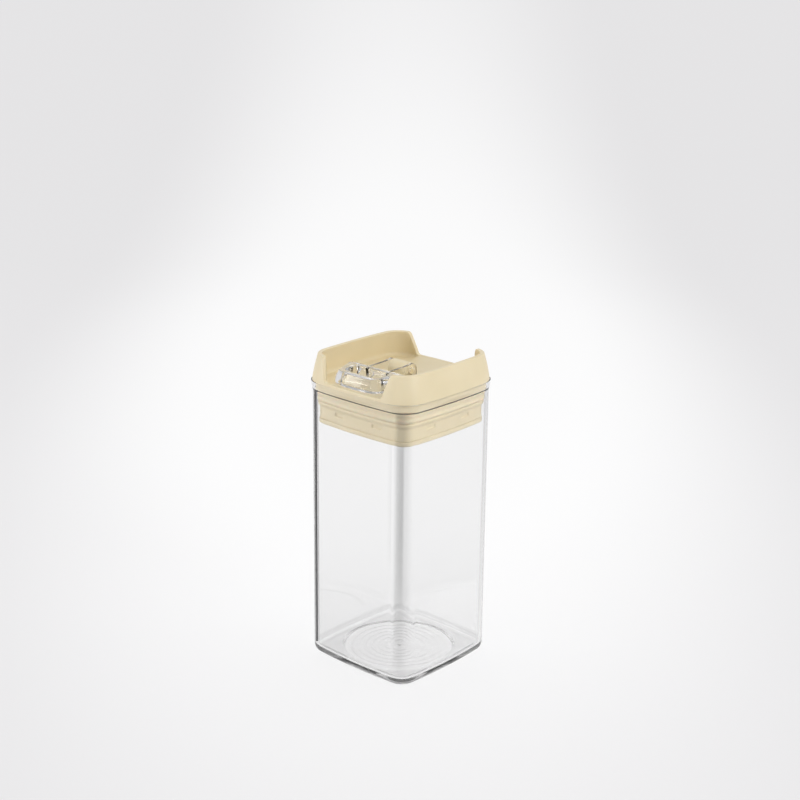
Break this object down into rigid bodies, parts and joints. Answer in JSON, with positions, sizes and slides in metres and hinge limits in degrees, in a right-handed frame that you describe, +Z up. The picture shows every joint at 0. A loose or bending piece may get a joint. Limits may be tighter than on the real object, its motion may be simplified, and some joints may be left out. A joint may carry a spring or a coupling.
{
  "type": "lidded canister",
  "caption": "Tall square clear canister with a cream press-in lid; a clear flip lever in the lid's tray squeezes a gasket against the neck.",
  "frame": {"origin": "middle of the underside, on the surface the canister stands on", "axes": "+Z up; -Y towards the front notch, where the lever's grip lies; X along the lever's hinge axis"},
  "size_m": [0.0928, 0.0928, 0.208],
  "materials": {
    "clear_acrylic": "clear polished, no tint",
    "cream_plastic": "satin moulded, warm cream",
    "cream_silicone": "matt moulded silicone, warm cream",
    "steel": "plain stainless"
  },
  "bodies": {
    "canister": {"canister_body": "clear_acrylic"},
    "lid": {"lid_cover": "cream_plastic", "gasket": "cream_silicone", "stem_seal": "cream_silicone", "return_spring": "steel"},
    "plunger": {"pull_stem": "cream_plastic", "pressure_frame": "cream_plastic", "bottom_cap": "cream_plastic", "stem_washer": "steel", "stem_screw": "steel", "lever_axle": "cream_plastic"},
    "lever": {"flip_lever": "clear_acrylic"}
  },
  "joints": [
    {"name": "lid_lift", "type": "slide", "parent": "canister", "child": "lid", "axis": [0, 0, 1], "range_m": [0, 0.06]},
    {"name": "seal_travel", "type": "slide", "parent": "lid", "child": "plunger", "axis": [0, 0, 1], "range_m": [-0.0025, 0], "deforming": ["gasket", "return_spring"]},
    {"name": "lever_flip", "type": "hinge", "parent": "plunger", "child": "lever", "pos_m": [0, 0, 0.1973], "axis": [-1, 0, 0], "range_deg": [0, 90]}
  ],
  "couplings": [
    {"joint": "seal_travel", "follows": "lever_flip", "m_per_rad": -0.0015915}
  ]
}
